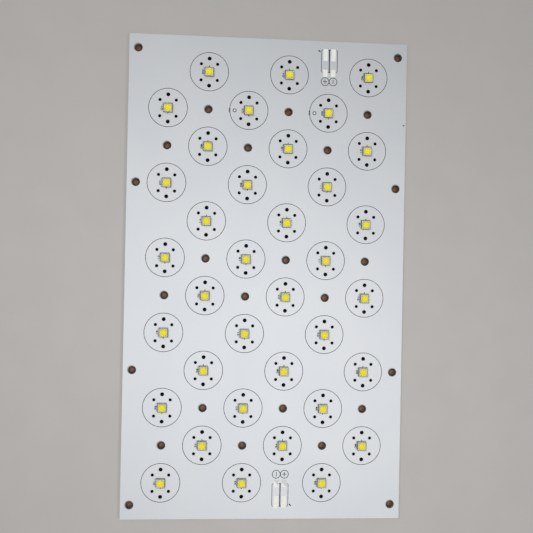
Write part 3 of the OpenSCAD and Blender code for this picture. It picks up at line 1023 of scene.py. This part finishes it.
def yellow_phosphor():
    """Yellow, with a faint painted glow of its own that stands in for the lamp light, which does not reach
    it through the dome.
    """
    colours = ((0.93, 0.82, 0.008), (0.97, 0.87, 0.016))
    material = grained_finish("yellow_phosphor", 3500, 4, colours, (0.6, 0.8), relief=0.2)
    tree = material.node_tree
    # Painted light: the emission makes up for lamp light that the dome keeps from the phosphor.
    fill(tree, tree.nodes["Principled BSDF"], {
        "Specular IOR Level": 0.05,
        "Emission Color": (1.0, 0.88, 0.0, 1),
        "Emission Strength": 0.17,
    })
    return material


for family, finish in (
    ("led_solder", reflowed_solder()),
    ("led_contacts", gold_plating()),
    ("led_substrates", fired_ceramic()),
    ("led_chips", sapphire_die()),
    ("led_phosphors", yellow_phosphor()),
):
    dress([f"{family}_{string}" for string in strings], finish)


# LED domes: clear silicone moulded over die and phosphor in one shot, as a round lens on a thin square
# skirt. The skirt covers the whole face of the tile and ends flush with its sides.

dome_low, dome_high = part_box("led_domes_1")
skirt_height = 0.15 * mm
skirt_sink = 0.01 * mm
dome_diameter = 3.2 * mm
dome_height = dome_high.z - dome_low.z - skirt_height
lens_radius = (dome_diameter ** 2 / 4 + dome_height ** 2) / (2 * dome_height)
lens_points = {"Vertices": 48, "Side Segments": 14, "Fill Segments": 1}
lens_weld = 0.002 * mm
string_leds = led_count // len(strings)


def moulded_dome_tree():
    """A turned lens cap united with a square skirt, copied to each LED."""
    sizes = ("Side", "Skirt Bottom", "Skirt Top", "Lens Radius", "Lens Top")
    sockets = {"Sites": "Geometry", **dict.fromkeys(sizes, "Float"), "Material": "Material"}
    tree, given, output = new_tree("moulded_dome", sockets, "Domes")
    unit_rod = {"Radius": 1.0, "Depth": 1.0, **lens_points}
    rod = put(tree, "GeometryNodeMeshCylinder", unit_rod, fill_type="NGON")
    place = coordinates(tree, put(tree, "GeometryNodeInputPosition"))
    middle = calculate(tree, "SUBTRACT", given["Lens Top"], given["Lens Radius"])
    skirt_span = calculate(tree, "SUBTRACT", given["Skirt Top"], given["Skirt Bottom"])
    root = calculate(tree, "ADD", given["Skirt Bottom"], calculate(tree, "MULTIPLY", skirt_span, 0.5))
    low_sine = calculate(tree, "DIVIDE", calculate(tree, "SUBTRACT", root, middle), given["Lens Radius"])
    low_turn = calculate(tree, "ARCSINE", low_sine)
    share = calculate(tree, "ADD", place["Z"], 0.5)
    sweep = calculate(tree, "SUBTRACT", math.pi / 2, low_turn)
    turn = calculate(tree, "ADD", low_turn, calculate(tree, "MULTIPLY", sweep, share))
    reach = calculate(tree, "MULTIPLY", given["Lens Radius"], calculate(tree, "COSINE", turn))
    rise = calculate(tree, "MULTIPLY", given["Lens Radius"], calculate(tree, "SINE", turn))
    on_lens = {axis: calculate(tree, "MULTIPLY", place[axis], reach) for axis in "XY"}
    on_lens["Z"] = calculate(tree, "ADD", middle, rise)
    turned = put(tree, "ShaderNodeCombineXYZ", on_lens)
    cap = put(tree, "GeometryNodeSetPosition", {0: rod, "Position": turned})
    lens = put(tree, "GeometryNodeMergeByDistance", {0: cap, "Distance": lens_weld})
    size = put(tree, "ShaderNodeCombineXYZ", {"X": given["Side"], "Y": given["Side"], "Z": skirt_span})
    block = put(tree, "GeometryNodeMeshCube", {"Size": size})
    lift = put(tree, "ShaderNodeCombineXYZ", {"Z": root})
    skirt = put(tree, "GeometryNodeTransform", {0: block, "Translation": lift})
    united = add_node(tree, "GeometryNodeMeshBoolean", operation="UNION", solver="EXACT")
    for part in (lens, skirt):
        tree.links.new(part, united.inputs["Mesh 2"])
    sites = {"Points": given["Sites"], "Instance": united.outputs[0]}
    finish_tree(tree, put(tree, "GeometryNodeInstanceOnPoints", sites), given["Material"], output)
    return tree


def clear_silicone():
    """Clear and faintly warm, with a gloss that varies a little."""
    material, tree, shader = new_material("clear_silicone")
    fill(tree, shader, {
        "Roughness": spread(tree, grain(tree, 700, 2)["Mask"], 0.02, 0.08),
        "Base Color": (0.98, 0.975, 0.95, 1),
        "Transmission Weight": 1.0,
        "IOR": 1.41,
    })
    return material


moulded_dome = moulded_dome_tree()
silicone = clear_silicone()
for string in strings:
    first = (string - 1) * string_leds
    sites = bpy.data.meshes.new(f"dome_sites_{string}")
    sites.from_pydata([(x, y, 0) for x, y, z in led_sites[first:first + string_leds]], [], [])
    domes = grow(
        f"clear_domes_{string}",
        sites,
        moulded_dome,
        {
            "Side": tile_side,
            "Skirt Bottom": dome_low.z - skirt_sink,
            "Skirt Top": dome_low.z + skirt_height,
            "Lens Radius": lens_radius,
            "Lens Top": dome_high.z,
            "Material": silicone,
        },
    )
    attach(domes, "root")
    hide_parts(f"led_domes_{string}")


# Studio: a plain pale floor, two soft boxes at the lower right and the upper left, the even light of the
# room, and a camera that looks almost straight down. Under the board the floor is painted dark as shade,
# with a painted pool of brown light under each screw hole.

floor_reach = 6.0
floor_level = 0.42
shade_rim = 0.8 * mm
deep_shade = 1.8 * mm
lit_share = 0.3


def seen_rays(tree):
    """1 for what the camera sees directly, in a mirror or through glass, and 0 for light on things."""
    path = add_node(tree, "ShaderNodeLightPath").outputs
    return calculate(
        tree, "MAXIMUM", path["Is Camera Ray"], path["Is Glossy Ray"], path["Is Transmission Ray"]
    )


def pale_floor():
    """Evenly pale all round; under the board it is painted dark as shade, with a painted pool of brown
    light in each screw hole.
    """
    material, tree, shader = new_material("pale_floor")
    covered = within_outline(tree, layer_high.x - shade_rim, layer_high.y - shade_rim)
    pale = mix_colours(tree, grain(tree, 60, 2)["Mask"], (0.23, 0.22, 0.21), (0.245, 0.235, 0.225))
    # Painted shade and light under the board: near black, and brown in the middle of each screw hole.
    lit = ramp(tree, from_screw(tree), deep_shade, lit_share * deep_shade)
    shade = mix_colours(tree, lit, (0.03, 0.028, 0.026), (0.25, 0.14, 0.103))
    open_floor = calculate(tree, "SUBTRACT", 1.0, covered)
    fill(tree, shader, {
        "Base Color": mix_colours(tree, covered, pale, shade),
        "Roughness": 0.85,
        "Emission Color": (0.62, 0.595, 0.57, 1),
        "Emission Strength": calculate(tree, "MULTIPLY", seen_rays(tree), open_floor, floor_level),
    })
    return material


floor_corners = [(x * floor_reach, y * floor_reach, 0) for x, y in ((-1, -1), (1, -1), (1, 1), (-1, 1))]
floor_mesh = bpy.data.meshes.new("floor")
floor_mesh.from_pydata(floor_corners, [], [(0, 1, 2, 3)])
floor_mesh.materials.append(pale_floor())
floor = bpy.data.objects.new("floor", floor_mesh)
bpy.context.scene.collection.objects.link(floor)

lamp_side = 0.2
lamp_beam = math.radians(10.5)
lamp_aim = Vector((-0.004, -0.03, 0))


def soft_lamp(name, watts, place):
    """A square soft box that looks from its place to the board, and isn't mirrored in any piece."""
    lamp_data = bpy.data.lights.new(name, "AREA")
    lamp_data.size = lamp_side
    lamp_data.energy = watts
    lamp_data.spread = lamp_beam
    lamp = bpy.data.objects.new(name, lamp_data)
    lamp.location = place
    lamp.rotation_euler = (lamp_aim - Vector(place)).to_track_quat("-Z", "Y").to_euler()
    lamp.visible_transmission = False
    lamp.visible_glossy = False
    bpy.context.scene.collection.objects.link(lamp)


soft_lamp("key_box", watts=0.070, place=(1.02, -0.52, 1.36))
soft_lamp("fill_box", watts=0.052, place=(-0.85, 0.62, 1.42))

room_level = 0.36
backdrop_level = 0.92
world = bpy.data.worlds.new("room")
world.use_nodes = True
room = world.node_tree
fill(room, room.nodes["Background"], {
    "Color": (0.97, 0.985, 1.0, 1),
    "Strength": spread(room, seen_rays(room), room_level, backdrop_level),
})
bpy.context.scene.world = world

image_side = 533
focal_pixels = 740
camera_place = (-21.8 * mm, 2.85 * mm, 299.71 * mm)
camera_turn = (0.292, -4.242, 1.126)
near_limit = 5 * mm
camera_data = bpy.data.cameras.new("camera")
camera_data.sensor_width = 36
camera_data.lens = focal_pixels / image_side * camera_data.sensor_width
camera_data.clip_start = near_limit
camera = bpy.data.objects.new("camera", camera_data)
camera.location = camera_place
camera.rotation_euler = [math.radians(angle) for angle in camera_turn]
bpy.context.scene.collection.objects.link(camera)
bpy.context.scene.camera = camera
bpy.context.scene.view_settings.view_transform = "Standard"
